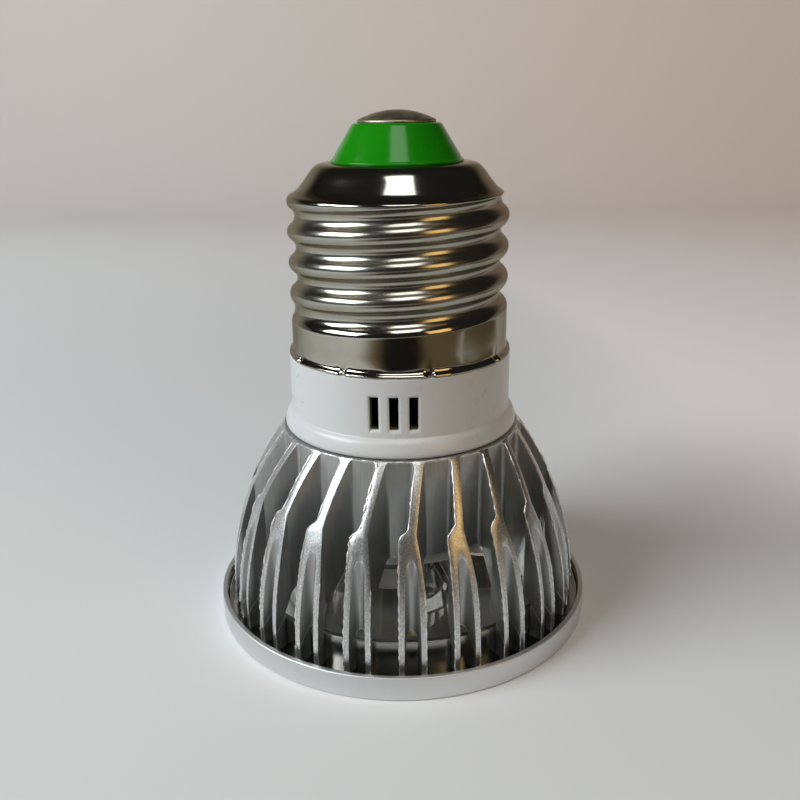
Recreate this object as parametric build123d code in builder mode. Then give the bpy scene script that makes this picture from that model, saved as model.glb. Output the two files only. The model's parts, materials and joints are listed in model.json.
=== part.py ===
from build123d import *
import os
from math import cos, radians, sqrt, tan

# LED spotlight bulb with a screw cap, standing lens-down on its front ring.
# The axis is Z with the cap pointing up, and the origin is the centre of the ring's front face.
# The side with the vent slots faces -Y. All lengths are in millimetres, all angles in degrees.

# Fits between pieces
push_fit = 0.05
slip_fit = 0.1

# Screw cap of the 27 mm size: pitch, crest and root follow the standard
thread_pitch = 25.4 / 7
thread_crest_r = 13.1
thread_depth = 1.05
thread_crest_width = 1.0
thread_base_width = 2.7
thread_rise = 1.81
thread_turns = 5
shell_sheet = 0.35
skirt_swell = 0.05
skirt_height = 4.9
skirt_step = 0.6
rim_flare = 0.45
rim_flare_height = 0.8
rim_edge = 0.3
thread_zone = 12.7
shoulder_inset = 1.1
shoulder_rise = 2.35
shoulder_height = 4.15

# Moulded insulator and the nail-shaped centre contact
insulator_foot_r = 7.73
insulator_top_r = 5.11
insulator_height = 4.25
insulator_plug_r = 7.5
insulator_plug_length = 2.15
insulator_flange_r = 9.2
insulator_flange = 0.7
contact_r = 4.75
contact_edge = 0.3
contact_dome = 1.1
nail_r = 1.4
nail_tail = 0.2

# White driver collar
collar_height = 9.0
collar_wall = 1.6
collar_floor = 2.0
bead_swell = 0.65
bead_height = 2.0
spigot_wall = 1.0
slot_width = 1.05
slot_height = 3.8
slot_base = 3.0
slot_pitch = 9.6
slot_heading = -93.2
guide_depth = 1.2
guide_rib = 0.9

# Heat sink: an extruded star of forked fins, turned to a bell
fin_count = 22
fin_heading = -87.3
core_r = 14.8
sink_length = 23.6
bell_top_r = 14.56
bell_straight = 1.35
stem_thickness = 0.9
stem_lean = 15.7
fork_web = 1.05
prong_length = 2.25
fork_offset = 0.2
fork_spread = 7.9
heel_length = 0.6
heel_fillet = 0.35
prong_shoulder = 2.0
channel_floor_width = 1.2
channel_mouth_width = 1.95
root_fillet = 0.5
cavity_depth = 11.7
cavity_ceiling_r = 14.5
bore_margin = 0.6
fin_foot = 1.75
fin_overrun = 1.0

# Front ring
bezel_r = 24.0
bezel_height = 3.0
bezel_wall = 0.65
ring_groove = 1.05
bezel_floor = 1.6
bezel_chamfer = 0.25
sleeve_wall = 0.7
sleeve_height = 3.6
lens_ledge = 1.2
lens_lip = 1.0

# Triple lens and the light sources behind it
led_count = 3
led_heading = 22.0
lens_flange = 2.0
lens_front = 0.5
cup_front_r = 9.2
cup_margin = 0.2
dish_margin = 1.0
dish_depth = 0.25
cup_back_r = 4.8
pocket_r = 3.2
pocket_depth = 3.5
led_board = 1.6
led_board_margin = 0.5
thermal_pad = 0.2
led_size = 3.45
led_height = 0.7
led_dome_r = 1.35
led_dome_top_r = 0.7
led_dome_height = 1.1

# Fasteners
board_screw_r = 0.95
board_screw_circle_r = 12.0
board_screw_grip = 5.0
board_screw_head_r = 1.9
board_screw_head = 1.2
collar_screw_r = 1.1
collar_screw_circle_r = 8.2
collar_screw_heading = -52.0
collar_screw_grip = 6.0
collar_screw_head_r = 2.0
collar_screw_head = 1.3

# Driver board and what stands on it
board = 1.2
board_margin = 0.95
board_height = 22.0
part_gap = 1.0
centre_gap = 1.4
can_chamfer = 0.4
input_cap_r = 4.0
input_cap_length = 11.0
output_cap_r = 2.5
output_cap_length = 9.0
choke_r = 3.0
choke_waist_r = 2.2
choke_height = 5.0
choke_flange = 1.0
rectifier_size = (4.7, 3.9, 1.5)
chip_size = (3.9, 4.9, 1.5)
resistor_r = 1.2
resistor_length = 6.4
resistor_lead_r = 0.3
resistor_span = 10.0
ferrite_width = 10.2
ferrite_leg = 1.5
ferrite_depth = 4.0
centre_leg = 2.5
coil_height = 7.2
coil_depth = 6.6
bobbin_wall = 0.5
bobbin_flange = 0.8

# Leads
lead_r = 0.5
lead_clearance = 0.25
lead_spacing = 1.3
lead_overlap = 4.5
neutral_drop = 4.0
neutral_length = 5.0

# Levels along the axis, from the ring up to the contact
foot_z = bezel_floor
sleeve_top_z = bezel_floor + sleeve_height
ceiling_z = foot_z + cavity_depth
pad_z = ceiling_z - thermal_pad
led_board_z = pad_z - led_board
sink_top_z = foot_z + sink_length
collar_floor_z = sink_top_z + collar_floor
rim_z = sink_top_z + collar_height
skirt_top_z = rim_z + skirt_height
spigot_top_z = skirt_top_z - slip_fit
thread_start_z = skirt_top_z + skirt_step
shoulder_z = thread_start_z + thread_zone
shell_top_z = shoulder_z + shoulder_height
insulator_top_z = shell_top_z + insulator_height
plug_bottom_z = shell_top_z - insulator_plug_length

# Radii that follow from the thread and the ring
thread_root_r = thread_crest_r - thread_depth
shoulder_r = thread_root_r - shoulder_inset
skirt_r = thread_crest_r + skirt_swell
shell_rim_r = skirt_r + rim_flare
collar_r = shell_rim_r
bead_r = collar_r + bead_swell
spigot_r = skirt_r - shell_sheet - push_fit
bay_r = collar_r - collar_wall
spigot_bore_r = spigot_r - spigot_wall
board_width = 2 * (spigot_bore_r - board_margin)
bell_foot_r = bezel_r - bezel_wall - ring_groove
channel_floor_r = bell_foot_r - prong_length
fork_r = channel_floor_r - fork_web
fin_bore_r = bell_foot_r - fin_foot
sleeve_r = fin_bore_r - push_fit
sleeve_bore_r = sleeve_r - sleeve_wall
aperture_r = sleeve_bore_r - lens_ledge
lens_r = sleeve_bore_r - slip_fit
led_circle_r = lens_r - cup_margin - cup_front_r

# Leads run close behind the driver board, through one hole in the floor and the core
lead_y = board / 2 + lead_r + push_fit / 2
lead_hole_r = lead_spacing / 2 + lead_r + lead_clearance

os.makedirs("parts", exist_ok=True)


# Centre contact: a domed head on a nail that is pressed through the insulator
with BuildPart() as contact_pin:
    with BuildSketch(Plane.XZ):
        with BuildLine():
            edge_z = insulator_top_z + contact_edge
            dome = TangentArc((0, edge_z + contact_dome), (contact_r, edge_z), tangent=(1, 0))
            Polyline(
                dome @ 1,
                (contact_r, insulator_top_z),
                (nail_r, insulator_top_z),
                (nail_r, plug_bottom_z - nail_tail),
                (0, plug_bottom_z - nail_tail),
                dome @ 0,
            )
        make_face()
    revolve(axis=Axis.Z)
contact_pin.part.label = "contact_pin"
export_step(contact_pin.part, "parts/contact_pin.step")

# Insulator: a cone outside, a plug through the shell's crown and a flange that locks under it
nail_bore_r = nail_r + push_fit
flange_top_z = plug_bottom_z + insulator_flange
with BuildPart() as insulator:
    with BuildSketch(Plane.XZ):
        with BuildLine():
            Polyline(
                (nail_bore_r, plug_bottom_z),
                (insulator_flange_r, plug_bottom_z),
                (insulator_flange_r, flange_top_z),
                (insulator_plug_r, flange_top_z),
                (insulator_plug_r, shell_top_z),
                (insulator_foot_r, shell_top_z),
                (insulator_top_r, insulator_top_z),
                (nail_bore_r, insulator_top_z),
                close=True,
            )
        make_face()
    revolve(axis=Axis.Z)
insulator.part.label = "insulator"
export_step(insulator.part, "parts/insulator.step")

# Half a turn of the rolled thread's ridge, rooted inside the sheet
ridge_slope = (thread_base_width - thread_crest_width) / 2 / (thread_crest_r - thread_root_r)
ridge_depth = shell_sheet
half_base = thread_base_width / 2 + ridge_depth * ridge_slope
ridge_z = rim_z + thread_rise
with BuildPart() as half_turn:
    with BuildLine(Plane.XY.offset(ridge_z)):
        winding = Helix(pitch=thread_pitch, height=thread_pitch / 2, radius=thread_root_r)
    with BuildSketch(Plane.XZ):
        with BuildLine():
            Polyline(
                (thread_root_r - ridge_depth, ridge_z - half_base),
                (thread_crest_r, ridge_z - thread_crest_width / 2),
                (thread_crest_r, ridge_z + thread_crest_width / 2),
                (thread_root_r - ridge_depth, ridge_z + half_base),
                close=True,
            )
        make_face()
    sweep(path=winding, is_frenet=True)

# The whole ridge: it starts inside the skirt and is turned down where it fades into the shoulder
half_turns = [Location((0, 0, thread_pitch * k / 2), (0, 0, 180 * k)) for k in range(2 * thread_turns)]
with BuildPart() as ridge:
    with Locations(*half_turns):
        add(half_turn.part)
    with BuildSketch(Plane.XZ):
        with BuildLine():
            Polyline(
                (0, skirt_top_z - shell_sheet),
                (thread_crest_r + shell_sheet, skirt_top_z - shell_sheet),
                (thread_crest_r + shell_sheet, shoulder_z - shell_sheet),
                (thread_root_r - 2 * shell_sheet, shoulder_z + thread_pitch / 2),
                (0, shoulder_z + thread_pitch / 2),
                close=True,
            )
        make_face()
    revolve(axis=Axis.Z, mode=Mode.INTERSECT)

# Screw shell: thin sheet with a flared rim, a skirt, the thread and a rounded shoulder
hole_r = insulator_plug_r + push_fit
with BuildPart() as screw_shell:
    with BuildSketch(Plane.XZ):
        with BuildLine():
            side = Polyline(
                (0, rim_z),
                (shell_rim_r, rim_z),
                (shell_rim_r, rim_z + rim_edge),
                (skirt_r, rim_z + rim_flare_height),
                (skirt_r, skirt_top_z),
                (thread_root_r, thread_start_z),
                (thread_root_r, shoulder_z),
            )
            shoulder = ThreePointArc(side @ 1, (shoulder_r, shoulder_z + shoulder_rise), (hole_r, shell_top_z))
            Polyline(shoulder @ 1, (0, shell_top_z), (0, rim_z))
        make_face()
    revolve(axis=Axis.Z)
    add(ridge.part)
    with BuildSketch(Plane.XZ):
        with BuildLine():
            inner_side = Polyline(
                (0, rim_z),
                (shell_rim_r - shell_sheet, rim_z),
                (shell_rim_r - shell_sheet, rim_z + rim_edge),
                (skirt_r - shell_sheet, rim_z + rim_flare_height),
                (skirt_r - shell_sheet, skirt_top_z),
                (thread_root_r - shell_sheet, thread_start_z),
                (thread_root_r - shell_sheet, shoulder_z),
            )
            Polyline(
                inner_side @ 1,
                (shoulder_r - shell_sheet, shoulder_z + shoulder_rise - shell_sheet),
                (hole_r, shell_top_z - shell_sheet),
                (hole_r, shell_top_z),
                (0, shell_top_z),
                (0, rim_z),
            )
        make_face()
    revolve(axis=Axis.Z, mode=Mode.SUBTRACT)
screw_shell.part.label = "screw_shell"
export_step(screw_shell.part, "parts/screw_shell.step")

# Cutter for one vent slot, pointing along +X
with BuildPart() as vent_slot:
    with BuildSketch(Plane.YZ.offset(bay_r - collar_wall)):
        with Locations((0, sink_top_z + slot_base + slot_height / 2)):
            Rectangle(slot_width, slot_height)
    extrude(amount=3 * collar_wall)

# Collar: a cup with a round bead at its foot and a spigot that carries the shell's skirt
guide_gap = board / 2 + slip_fit
guide_inner_x = board_width / 2 - guide_depth
guide_outer_x = spigot_r - spigot_wall / 4
with BuildPart() as collar:
    with BuildSketch(Plane.XZ):
        with BuildLine():
            bead = ThreePointArc(
                (bead_r - bead_height / 3, sink_top_z),
                (bead_r, sink_top_z + bead_height / 2),
                (collar_r, sink_top_z + bead_height),
            )
            Polyline(
                bead @ 1,
                (collar_r, rim_z),
                (spigot_r, rim_z),
                (spigot_r, spigot_top_z),
                (spigot_bore_r, spigot_top_z),
                (spigot_bore_r, rim_z - collar_wall),
                (bay_r, rim_z - collar_wall),
                (bay_r, collar_floor_z),
                (0, collar_floor_z),
                (0, sink_top_z),
                bead @ 0,
            )
        make_face()
    revolve(axis=Axis.Z)
    # Two pairs of guide ribs hold the edges of the driver board
    with BuildSketch(Plane.XY.offset(collar_floor_z)):
        with GridLocations(guide_inner_x + guide_outer_x, 2 * guide_gap + guide_rib, 2, 2):
            Rectangle(guide_outer_x - guide_inner_x, guide_rib)
    extrude(amount=spigot_top_z - collar_floor_z)
    # The vents come in threes, at the front and at the back
    for heading in (slot_heading, slot_heading + 180):
        with PolarLocations(0, 3, heading - slot_pitch, 2 * slot_pitch, endpoint=True):
            add(vent_slot.part, mode=Mode.SUBTRACT)
    with BuildSketch(Plane.XY.offset(sink_top_z)):
        with PolarLocations(collar_screw_circle_r, 2, collar_screw_heading):
            Circle(collar_screw_r + slip_fit)
        with Locations((0, lead_y)):
            Circle(lead_hole_r)
    extrude(amount=collar_floor, mode=Mode.SUBTRACT)
collar.part.label = "collar"
export_step(collar.part, "parts/collar.step")

# Cross-section of one fin, with the radius along X: a leaning stem that forks into two prongs
lean = tan(radians(stem_lean))
half_stem = stem_thickness / 2 / cos(radians(stem_lean))
spread = tan(radians(fork_spread / 2))
heel_r = fork_r - heel_length / 2
prong_r = heel_r + heel_length
tip_r = bell_foot_r + fin_overrun
root_r = core_r - 2 * root_fillet
mouth_slope = (channel_mouth_width - channel_floor_width) / 2 / (bell_foot_r - channel_floor_r)
half_mouth = channel_floor_width / 2 + mouth_slope * (tip_r - channel_floor_r)
half_floor = channel_floor_width / 2 + mouth_slope * channel_floor_width / 2
root_swing = fork_offset + (fork_r - root_r) * lean
heel_swing = fork_offset + (fork_r - heel_r) * lean
with BuildSketch() as fin:
    with BuildLine():
        left = Polyline(
            (channel_floor_r + half_floor, -half_floor),
            (tip_r, -half_mouth),
            (tip_r, -tip_r * spread),
            (prong_r, -prong_r * spread),
            (heel_r, heel_swing - half_stem),
            (root_r, root_swing - half_stem),
            (root_r, root_swing + half_stem),
            (fork_r, fork_offset + half_stem),
            (fork_r + prong_shoulder, (fork_r + prong_shoulder) * spread),
            (tip_r, tip_r * spread),
            (tip_r, half_mouth),
            (channel_floor_r + half_floor, half_floor),
        )
        ThreePointArc(left @ 1, (channel_floor_r, 0), left @ 0)
    make_face()
    heel = fin.vertices().sort_by_distance((prong_r, -prong_r * spread))[0]
    fillet(heel, radius=heel_fillet)

# Heat sink: core and fins extruded together, then turned to a bell and bored from the front
with BuildPart() as heat_sink:
    with BuildSketch(Plane.XY.offset(foot_z)) as star:
        Circle(core_r)
        with PolarLocations(0, fin_count, fin_heading):
            add(fin.sketch)
        roots = star.vertices().filter_by(lambda v: abs(Vector(v.X, v.Y).length - core_r) < slip_fit)
        fillet(roots, radius=root_fillet)
    extrude(amount=sink_length)
    with BuildSketch(Plane.XZ):
        with BuildLine():
            foot = Polyline((0, foot_z), (bell_foot_r, foot_z), (bell_foot_r, foot_z + bell_straight))
            bell = TangentArc(foot @ 1, (bell_top_r, sink_top_z), tangent=(0, 1))
            Polyline(bell @ 1, (0, sink_top_z), (0, foot_z))
        make_face()
    revolve(axis=Axis.Z, mode=Mode.INTERSECT)
    with BuildSketch(Plane.XZ):
        with BuildLine():
            Polyline(
                (0, foot_z),
                (fin_bore_r, foot_z),
                (fin_bore_r, sleeve_top_z + bore_margin),
                (cavity_ceiling_r, ceiling_z),
                (0, ceiling_z),
                close=True,
            )
        make_face()
    revolve(axis=Axis.Z, mode=Mode.SUBTRACT)
    with BuildSketch(Plane.XY.offset(sink_top_z)):
        with PolarLocations(collar_screw_circle_r, 2, collar_screw_heading):
            Circle(collar_screw_r + push_fit)
    extrude(amount=-collar_screw_grip - slip_fit, mode=Mode.SUBTRACT)
    with BuildSketch(Plane.XY.offset(ceiling_z)):
        with PolarLocations(board_screw_circle_r, led_count, led_heading + 180 / led_count):
            Circle(board_screw_r + push_fit)
    extrude(amount=board_screw_grip + slip_fit, mode=Mode.SUBTRACT)
    with BuildSketch(Plane.XY.offset(ceiling_z)):
        with Locations((0, lead_y)):
            Circle(lead_hole_r)
    extrude(amount=sink_top_z - ceiling_z, mode=Mode.SUBTRACT)
heat_sink.part.label = "heat_sink"
export_step(heat_sink.part, "parts/heat_sink.step")

# Front ring: an outer wall, a floor for the fin feet, a sleeve inside the fins and a lip for the lens
with BuildPart() as bezel_ring:
    with BuildSketch(Plane.XZ):
        with BuildLine():
            Polyline(
                (aperture_r, 0),
                (bezel_r - bezel_chamfer, 0),
                (bezel_r, bezel_chamfer),
                (bezel_r, bezel_height),
                (bezel_r - bezel_wall, bezel_height),
                (bezel_r - bezel_wall, bezel_floor),
                (sleeve_r, bezel_floor),
                (sleeve_r, sleeve_top_z),
                (sleeve_bore_r, sleeve_top_z),
                (sleeve_bore_r, lens_lip),
                (aperture_r, lens_lip),
                close=True,
            )
        make_face()
    revolve(axis=Axis.Z)
bezel_ring.part.label = "bezel_ring"
export_step(bezel_ring.part, "parts/bezel_ring.step")

# One collimator cup of the lens, hollowed at the back for its light source
cup_base_z = lens_lip + lens_flange
pocket_z = led_board_z - pocket_depth
with BuildPart() as cup:
    with BuildSketch(Plane.XZ):
        with BuildLine():
            Polyline(
                (0, cup_base_z),
                (cup_front_r, cup_base_z),
                (cup_back_r, led_board_z),
                (pocket_r, led_board_z),
                (pocket_r, pocket_z),
                (0, pocket_z),
                close=True,
            )
        make_face()
    revolve(axis=Axis.Z)

# Lens: the cups moulded in one with a round flange and a front plate, dished in front of each cup
with BuildPart() as lens:
    with BuildSketch(Plane.XY.offset(lens_lip)):
        Circle(lens_r)
    extrude(amount=lens_flange)
    with BuildSketch(Plane.XY.offset(lens_front)):
        Circle(aperture_r - slip_fit)
    extrude(amount=lens_lip - lens_front)
    with PolarLocations(led_circle_r, led_count, led_heading):
        add(cup.part)
    with BuildSketch(Plane.XY.offset(lens_front)):
        with PolarLocations(led_circle_r, led_count, led_heading):
            Circle(aperture_r - led_circle_r - dish_margin)
    extrude(amount=dish_depth, mode=Mode.SUBTRACT)
lens.part.label = "lens"
export_step(lens.part, "parts/lens.step")

# Metal-core board under the ceiling of the cavity, with a thermal pad between
led_board_r = cavity_ceiling_r - led_board_margin
with BuildPart() as thermal_sheet:
    with BuildSketch(Plane.XY.offset(pad_z)):
        Circle(led_board_r)
        with PolarLocations(board_screw_circle_r, led_count, led_heading + 180 / led_count):
            Circle(board_screw_r + slip_fit, mode=Mode.SUBTRACT)
        with Locations((0, lead_y)):
            Circle(lead_hole_r, mode=Mode.SUBTRACT)
    extrude(amount=thermal_pad)
thermal_sheet.part.label = "thermal_pad"
export_step(thermal_sheet.part, "parts/thermal_pad.step")

with BuildPart() as metal_board:
    with BuildSketch(Plane.XY.offset(led_board_z)):
        Circle(led_board_r)
        with PolarLocations(board_screw_circle_r, led_count, led_heading + 180 / led_count):
            Circle(board_screw_r + slip_fit, mode=Mode.SUBTRACT)
        with Locations((0, lead_y)):
            with GridLocations(lead_spacing, 0, 2, 1):
                Circle(lead_r + push_fit, mode=Mode.SUBTRACT)
    extrude(amount=led_board)
metal_board.part.label = "led_board"
export_step(metal_board.part, "parts/led_board.step")

with BuildPart() as led_packages:
    with BuildSketch(Plane.XY.offset(led_board_z)):
        with PolarLocations(led_circle_r, led_count, led_heading):
            Rectangle(led_size, led_size)
    extrude(amount=-led_height)
led_packages.part.label = "led_packages"
export_step(led_packages.part, "parts/led_packages.step")

with BuildPart(Plane.XY.offset(led_board_z - led_height)) as led_domes:
    with PolarLocations(led_circle_r, led_count, led_heading):
        Cone(led_dome_top_r, led_dome_r, led_dome_height, align=(Align.CENTER, Align.CENTER, Align.MAX))
led_domes.part.label = "led_domes"
export_step(led_domes.part, "parts/led_domes.step")

# Pan-head screws: three hold the metal board, two hold the collar
with BuildPart() as board_screws:
    with BuildSketch(Plane.XY.offset(led_board_z)):
        with PolarLocations(board_screw_circle_r, led_count, led_heading + 180 / led_count):
            Circle(board_screw_head_r)
    extrude(amount=-board_screw_head)
    with BuildSketch(Plane.XY.offset(led_board_z)):
        with PolarLocations(board_screw_circle_r, led_count, led_heading + 180 / led_count):
            Circle(board_screw_r)
    extrude(amount=led_board + thermal_pad + board_screw_grip)
board_screws.part.label = "board_screws"
export_step(board_screws.part, "parts/board_screws.step")

with BuildPart() as collar_screws:
    with BuildSketch(Plane.XY.offset(collar_floor_z)):
        with PolarLocations(collar_screw_circle_r, 2, collar_screw_heading):
            Circle(collar_screw_head_r)
    extrude(amount=collar_screw_head)
    with BuildSketch(Plane.XY.offset(collar_floor_z)):
        with PolarLocations(collar_screw_circle_r, 2, collar_screw_heading):
            Circle(collar_screw_r)
    extrude(amount=-collar_floor - collar_screw_grip)
collar_screws.part.label = "collar_screws"
export_step(collar_screws.part, "parts/collar_screws.step")

# Driver board, upright across the collar with its edges between the guide ribs
front_face = Plane.XZ.offset(board / 2)
back_face = Plane(origin=(0, board / 2, 0), x_dir=(-1, 0, 0), z_dir=(0, 1, 0))
board_top_z = collar_floor_z + board_height
with BuildPart() as driver_board:
    with BuildSketch(front_face):
        with Locations((0, collar_floor_z + board_height / 2)):
            Rectangle(board_width, board_height)
    extrude(amount=-board)
driver_board.part.label = "driver_board"
export_step(driver_board.part, "parts/driver_board.step")

# Front of the board: two capacitors lying against it, the choke and the rectifier
input_cap_x = -input_cap_r + centre_gap
input_cap_z = board_top_z - input_cap_length - 2 * part_gap
with BuildPart() as input_capacitor:
    with BuildSketch(Plane.XY.offset(input_cap_z)):
        with Locations((input_cap_x, -board / 2 - input_cap_r)):
            Circle(input_cap_r)
    extrude(amount=input_cap_length)
    rims = input_capacitor.edges().filter_by(GeomType.CIRCLE)
    chamfer(rims, length=can_chamfer)
input_capacitor.part.label = "input_capacitor"
export_step(input_capacitor.part, "parts/input_capacitor.step")

output_cap_x = 2 * output_cap_r + part_gap
output_cap_z = collar_floor_z + 2 * part_gap
with BuildPart() as output_capacitor:
    with BuildSketch(Plane.XY.offset(output_cap_z)):
        with Locations((output_cap_x, -board / 2 - output_cap_r)):
            Circle(output_cap_r)
    extrude(amount=output_cap_length)
    rims = output_capacitor.edges().filter_by(GeomType.CIRCLE)
    chamfer(rims, length=can_chamfer)
output_capacitor.part.label = "output_capacitor"
export_step(output_capacitor.part, "parts/output_capacitor.step")

choke_x = -choke_r - 2 * part_gap
choke_z = collar_floor_z + choke_r + part_gap
with BuildPart() as choke:
    with BuildSketch(front_face):
        with Locations((choke_x, choke_z)):
            Circle(choke_r)
    extrude(amount=choke_flange)
    with BuildSketch(front_face.offset(choke_flange)):
        with Locations((choke_x, choke_z)):
            Circle(choke_waist_r)
    extrude(amount=choke_height - 2 * choke_flange)
    with BuildSketch(front_face.offset(choke_height - choke_flange)):
        with Locations((choke_x, choke_z)):
            Circle(choke_r)
    extrude(amount=choke_flange)
choke.part.label = "choke"
export_step(choke.part, "parts/choke.step")

with BuildPart() as bridge_rectifier:
    with BuildSketch(front_face):
        with Locations((output_cap_x, board_top_z - rectifier_size[1])):
            Rectangle(rectifier_size[0], rectifier_size[1])
    extrude(amount=rectifier_size[2])
bridge_rectifier.part.label = "bridge_rectifier"
export_step(bridge_rectifier.part, "parts/bridge_rectifier.step")

# Back of the board: transformer, controller chip and fusible resistor
half_coil = coil_height / 2
transformer_z = collar_floor_z + lead_overlap + part_gap + ferrite_leg + bobbin_flange + half_coil
flange_width = ferrite_width - 2 * ferrite_leg - 2 * slip_fit
coil_width = flange_width - 2 * slip_fit
tube_width = centre_leg + 2 * (push_fit + bobbin_wall)
tube_depth = ferrite_depth + 2 * (push_fit + bobbin_wall)
bobbin_y = coil_depth / 2 + bobbin_flange
with BuildPart() as transformer_bobbin:
    with BuildSketch(Plane.XY.offset(transformer_z - half_coil - bobbin_flange)):
        with Locations((0, board / 2 + bobbin_y)):
            Rectangle(flange_width, 2 * bobbin_y)
    extrude(amount=bobbin_flange)
    with BuildSketch(Plane.XY.offset(transformer_z + half_coil)):
        with Locations((0, board / 2 + bobbin_y)):
            Rectangle(flange_width, 2 * bobbin_y)
    extrude(amount=bobbin_flange)
    with BuildSketch(Plane.XY.offset(transformer_z - half_coil)):
        with Locations((0, board / 2 + bobbin_y)):
            Rectangle(tube_width, tube_depth)
    extrude(amount=coil_height)
    with BuildSketch(Plane.XY.offset(transformer_z - half_coil - bobbin_flange)):
        with Locations((0, board / 2 + bobbin_y)):
            Rectangle(centre_leg + 2 * push_fit, ferrite_depth + 2 * push_fit)
    extrude(amount=coil_height + 2 * bobbin_flange, mode=Mode.SUBTRACT)
transformer_bobbin.part.label = "transformer_bobbin"
export_step(transformer_bobbin.part, "parts/transformer_bobbin.step")

with BuildPart() as transformer_coil:
    with BuildSketch(Plane.XY.offset(transformer_z - half_coil)):
        with Locations((0, board / 2 + bobbin_y)):
            RectangleRounded(coil_width, coil_depth, ferrite_leg)
            Rectangle(tube_width, tube_depth, mode=Mode.SUBTRACT)
    extrude(amount=coil_height)
transformer_coil.part.label = "transformer_coil"
export_step(transformer_coil.part, "parts/transformer_coil.step")

window_height = coil_height + 2 * (bobbin_flange + push_fit)
window_width = (ferrite_width - centre_leg) / 2 - ferrite_leg
with BuildPart() as transformer_core:
    with BuildSketch(back_face.offset(bobbin_y - ferrite_depth / 2)):
        with Locations((0, transformer_z)):
            Rectangle(ferrite_width, window_height + 2 * ferrite_leg)
            with GridLocations(centre_leg + window_width, 0, 2, 1):
                Rectangle(window_width, window_height, mode=Mode.SUBTRACT)
    extrude(amount=ferrite_depth)
transformer_core.part.label = "transformer_core"
export_step(transformer_core.part, "parts/transformer_core.step")

chip_x = guide_inner_x - part_gap / 2 - chip_size[0] / 2
with BuildPart() as driver_chip:
    with BuildSketch(back_face):
        with Locations((chip_x, collar_floor_z + chip_size[1])):
            Rectangle(chip_size[0], chip_size[1])
    extrude(amount=chip_size[2])
driver_chip.part.label = "driver_chip"
export_step(driver_chip.part, "parts/driver_chip.step")

core_top_z = transformer_z + window_height / 2 + ferrite_leg
resistor_z = core_top_z + part_gap + resistor_r
with BuildPart() as fuse_resistor:
    with BuildSketch(Plane.YZ.offset(-resistor_length / 2)):
        with Locations((board / 2 + resistor_r, resistor_z)):
            Circle(resistor_r)
    extrude(amount=resistor_length)
    with BuildSketch(Plane.YZ.offset(-resistor_span / 2)):
        with Locations((board / 2 + resistor_r, resistor_z)):
            Circle(resistor_lead_r)
    extrude(amount=resistor_span)
    with BuildSketch(back_face):
        with Locations((-resistor_span / 2, resistor_z), (resistor_span / 2, resistor_z)):
            Circle(resistor_lead_r)
    extrude(amount=resistor_r)
fuse_resistor.part.label = "fuse_resistor"
export_step(fuse_resistor.part, "parts/fuse_resistor.step")

# Leads inside: live from the nail down to the board's edge, neutral from the board to the shell
with BuildPart() as live_wire:
    with BuildSketch(Plane.XY.offset(board_top_z)):
        Circle(lead_r)
    extrude(amount=plug_bottom_z - nail_tail - board_top_z)
live_wire.part.label = "live_wire"
export_step(live_wire.part, "parts/live_wire.step")

shell_bore_r = thread_root_r - shell_sheet
neutral_end = sqrt(shell_bore_r**2 - (lead_y + lead_r) ** 2) - push_fit
with BuildPart() as neutral_wire:
    with BuildSketch(Plane.YZ.offset(-neutral_end)):
        with Locations((-lead_y, board_top_z - neutral_drop)):
            Circle(lead_r)
    extrude(amount=neutral_length)
neutral_wire.part.label = "neutral_wire"
export_step(neutral_wire.part, "parts/neutral_wire.step")

# A pair of leads from the board through the collar's floor and the core to the metal board
lead_names = ("led_wire_positive", "led_wire_negative")
for name, side in zip(lead_names, (1, -1)):
    with BuildPart() as led_wire:
        with BuildSketch(Plane.XY.offset(led_board_z)):
            with Locations((side * lead_spacing / 2, lead_y)):
                Circle(lead_r)
        extrude(amount=collar_floor_z + lead_overlap - led_board_z)
    led_wire.part.label = name
    export_step(led_wire.part, f"parts/{name}.step")
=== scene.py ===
# %% [markdown]
# This lesson dresses a screw-cap spotlight bulb that stands on its front ring. Its solids come from the packed
# model, in metres and in place, so every piece made here goes where the model says. A scene could also start from
# an empty file and be fitted to the model later, but then every length would be measured twice. Lengths below are
# written in millimetres and turned into metres by one factor, because the bulb is small.

import json
import math
import random

import bpy
from mathutils import Matrix, Vector


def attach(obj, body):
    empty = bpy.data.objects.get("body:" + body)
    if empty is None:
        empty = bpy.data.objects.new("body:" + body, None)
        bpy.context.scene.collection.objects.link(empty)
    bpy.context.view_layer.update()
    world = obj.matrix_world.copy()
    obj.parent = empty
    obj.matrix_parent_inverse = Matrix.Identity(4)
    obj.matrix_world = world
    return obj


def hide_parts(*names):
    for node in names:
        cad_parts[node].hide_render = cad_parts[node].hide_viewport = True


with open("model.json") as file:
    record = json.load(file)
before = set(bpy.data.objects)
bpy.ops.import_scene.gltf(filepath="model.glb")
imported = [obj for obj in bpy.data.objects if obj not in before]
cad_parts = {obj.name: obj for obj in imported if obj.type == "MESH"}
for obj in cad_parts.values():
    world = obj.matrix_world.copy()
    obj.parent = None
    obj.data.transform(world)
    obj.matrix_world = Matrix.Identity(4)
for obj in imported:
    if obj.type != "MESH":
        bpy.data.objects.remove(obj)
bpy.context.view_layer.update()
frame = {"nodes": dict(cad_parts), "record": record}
nodes = frame["nodes"]
mm = 0.001

# %% [markdown]
# The camera stands about a hand's width in front of the bulb and a little above its contact, and looks down by
# nineteen degrees. Its place was found by fitting the rim, the thread and the ring to the photograph. Three Euler
# angles would do as well, but a matrix made of the three viewing directions is easier to get right.

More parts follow.
